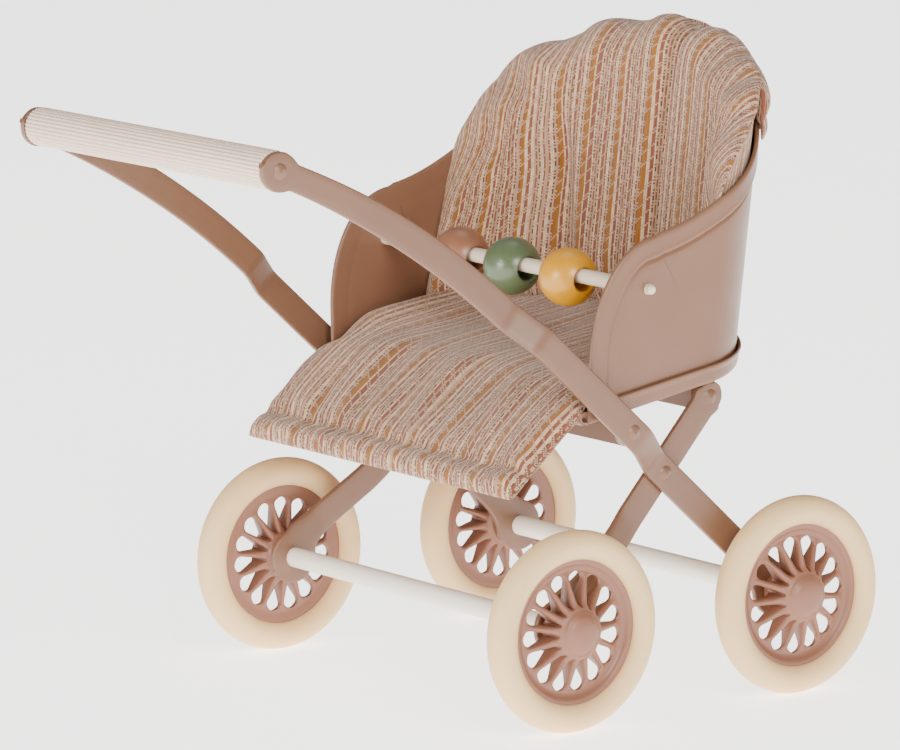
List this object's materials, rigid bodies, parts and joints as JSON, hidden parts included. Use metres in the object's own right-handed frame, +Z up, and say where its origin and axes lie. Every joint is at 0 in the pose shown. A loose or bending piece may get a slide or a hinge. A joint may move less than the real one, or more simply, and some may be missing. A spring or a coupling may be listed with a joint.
{
  "type": "doll stroller",
  "caption": "Toy doll stroller: pressed-metal bucket seat on crossed strip legs, spoked wheels, fluted handle grip, bead bar and a striped sewn pad.",
  "frame": {"origin": "on the floor under the middle of the stroller's bounding box", "axes": "+Y from the handle towards the backrest, the way it is pushed; +X to the right of that; +Z up"},
  "size_m": [0.0894, 0.12, 0.1094],
  "materials": {
    "frame_paint": "satin enamel, dusty taupe rose",
    "seat_paint": "satin enamel, dusty taupe rose",
    "steel": "bare steel",
    "bar_cream": "satin off-white enamel",
    "axle_cream": "satin off-white enamel",
    "grip_cream": "fluted matt off-white",
    "bead_pink": "dusty pink lacquer on turned wood",
    "bead_green": "sage green lacquer on turned wood",
    "bead_yellow": "mustard lacquer on turned wood",
    "striped_cloth": "woven cotton with rose and ochre stripes",
    "rim_paint": "satin enamel, dusty pink",
    "tyre": "smooth matt cream rubber"
  },
  "bodies": {
    "frame": {"handle_arm_left": "frame_paint", "handle_arm_right": "frame_paint", "leg_left": "frame_paint", "leg_right": "frame_paint", "front_crossbar": "frame_paint", "rear_crossbar": "frame_paint", "handle_rod": "steel", "handle_rod_heads": "frame_paint", "seat_pan": "seat_paint", "seat_shell": "seat_paint", "shell_rivets": "seat_paint", "pan_rivets": "frame_paint", "arm_rivets": "frame_paint", "leg_rivets": "frame_paint", "crossing_rivets": "frame_paint", "bead_bar": "bar_cream", "bead_bar_heads": "bar_cream", "seat_cushion": "striped_cloth", "back_cushion": "striped_cloth", "cushion_hood": "striped_cloth"},
    "grip": {"handle_grip": "grip_cream"},
    "front_wheelset": {"front_axle": "axle_cream", "wheel_rim_front_left": "rim_paint", "wheel_rim_front_right": "rim_paint", "tyre_front_left": "tyre", "tyre_front_right": "tyre"},
    "rear_wheelset": {"rear_axle": "axle_cream", "rear_spacers": "rim_paint", "wheel_rim_rear_left": "rim_paint", "wheel_rim_rear_right": "rim_paint", "tyre_rear_left": "tyre", "tyre_rear_right": "tyre"},
    "pink_bead": {"bead_pink": "bead_pink"},
    "green_bead": {"bead_green": "bead_green"},
    "yellow_bead": {"bead_yellow": "bead_yellow"}
  },
  "joints": [
    {"name": "front_wheels_roll", "type": "hinge", "parent": "frame", "child": "front_wheelset", "pos_m": [0, -0.00412, 0.0167], "axis": [1, 0, 0], "continuous": true},
    {"name": "rear_wheels_roll", "type": "hinge", "parent": "frame", "child": "rear_wheelset", "pos_m": [0, 0.04328, 0.0167], "axis": [1, 0, 0], "continuous": true},
    {"name": "grip_turn", "type": "hinge", "parent": "frame", "child": "grip", "pos_m": [0, -0.05678, 0.09601], "axis": [1, 0, 0], "continuous": true},
    {"name": "pink_bead_slide", "type": "slide", "parent": "frame", "child": "pink_bead", "axis": [1, 0, 0], "range_m": [-0.015, 0.002]},
    {"name": "green_bead_slide", "type": "slide", "parent": "frame", "child": "green_bead", "axis": [1, 0, 0], "range_m": [-0.002, 0.0025]},
    {"name": "yellow_bead_slide", "type": "slide", "parent": "frame", "child": "yellow_bead", "axis": [1, 0, 0], "range_m": [-0.0025, 0.0145]}
  ]
}
